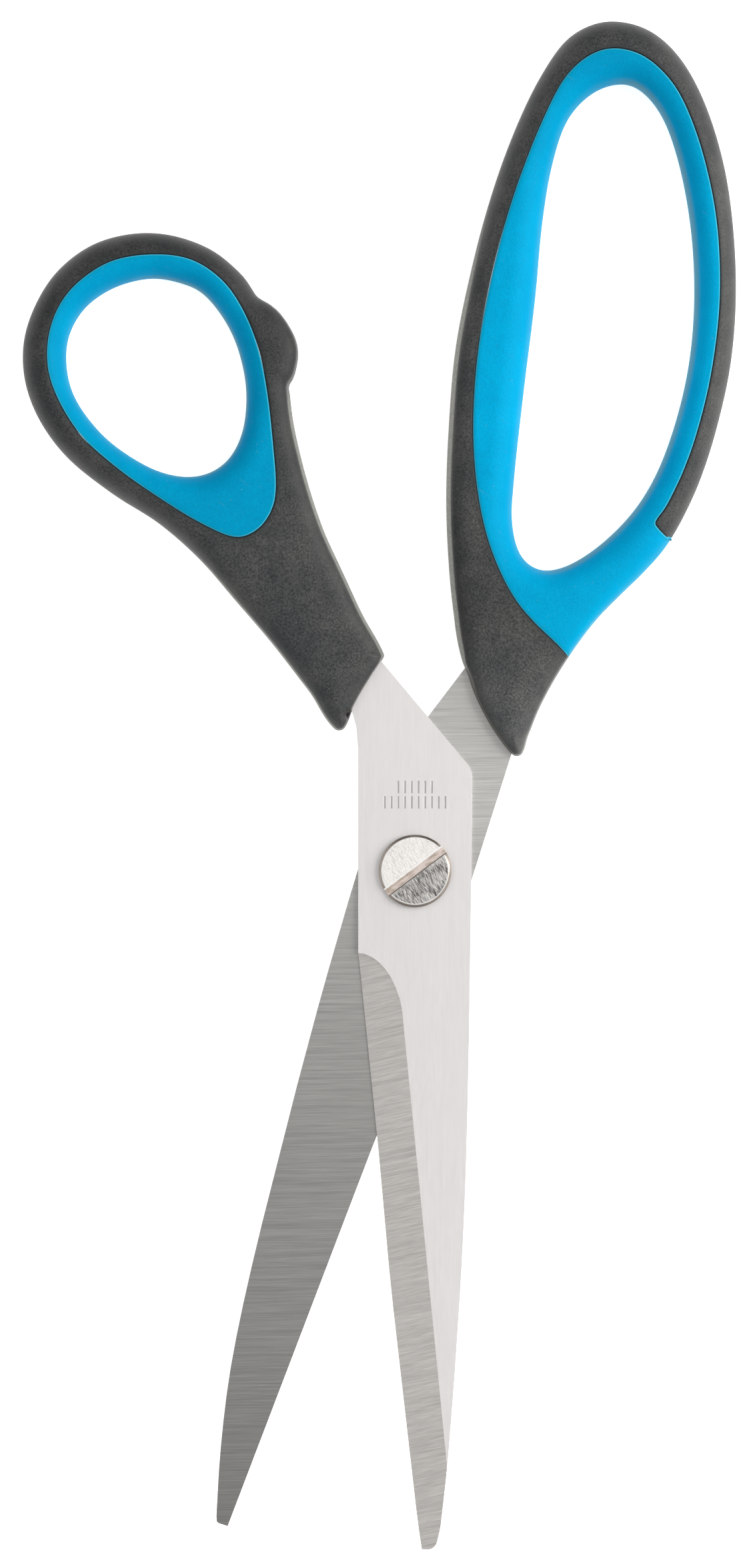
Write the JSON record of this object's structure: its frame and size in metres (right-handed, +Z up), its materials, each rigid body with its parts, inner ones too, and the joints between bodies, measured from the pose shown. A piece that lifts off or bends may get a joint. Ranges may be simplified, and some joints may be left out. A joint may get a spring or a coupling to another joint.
{
  "type": "office scissors",
  "caption": "Office scissors, part open: ground steel blades on a slotted pivot screw, black moulded handles with blue soft grips lining the thumb and finger loops.",
  "frame": {"origin": "centre of the bottom of the bounding box, on the surface that the handles' undersides lie on; the pivot axis is at x 6 mm, y -14 mm", "axes": "+Z up, parallel to the pivot axis; -Y along the front blade from the pivot to its tip; +X towards the finger handle"},
  "size_m": [0.1168, 0.2499, 0.0105],
  "materials": {
    "blade_steel": "fine ground stainless steel, brushed along the blade",
    "handle_plastic": "fine spark-textured black, satin",
    "grip_rubber": "smooth satin blue thermoplastic rubber",
    "screw_nickel": "nickel plated, coarsely brushed top"
  },
  "bodies": {
    "finger_half": {"back_blade": "blade_steel", "finger_handle": "handle_plastic", "finger_grip": "grip_rubber", "pivot_nut": "screw_nickel", "spring_washer": "screw_nickel"},
    "thumb_half": {"front_blade": "blade_steel", "thumb_handle": "handle_plastic", "thumb_grip": "grip_rubber"},
    "tension_screw": {"pivot_screw": "screw_nickel"}
  },
  "joints": [
    {"name": "blade_pivot", "type": "hinge", "parent": "finger_half", "child": "thumb_half", "pos_m": [0.006, -0.014, 0.00525], "axis": [0, 0, 1], "range_deg": [-17, 110]},
    {"name": "tension_screw_turn", "type": "hinge", "parent": "finger_half", "child": "tension_screw", "pos_m": [0.006, -0.014, 0.00525], "axis": [0, 0, 1], "range_deg": [-45, 45]}
  ]
}
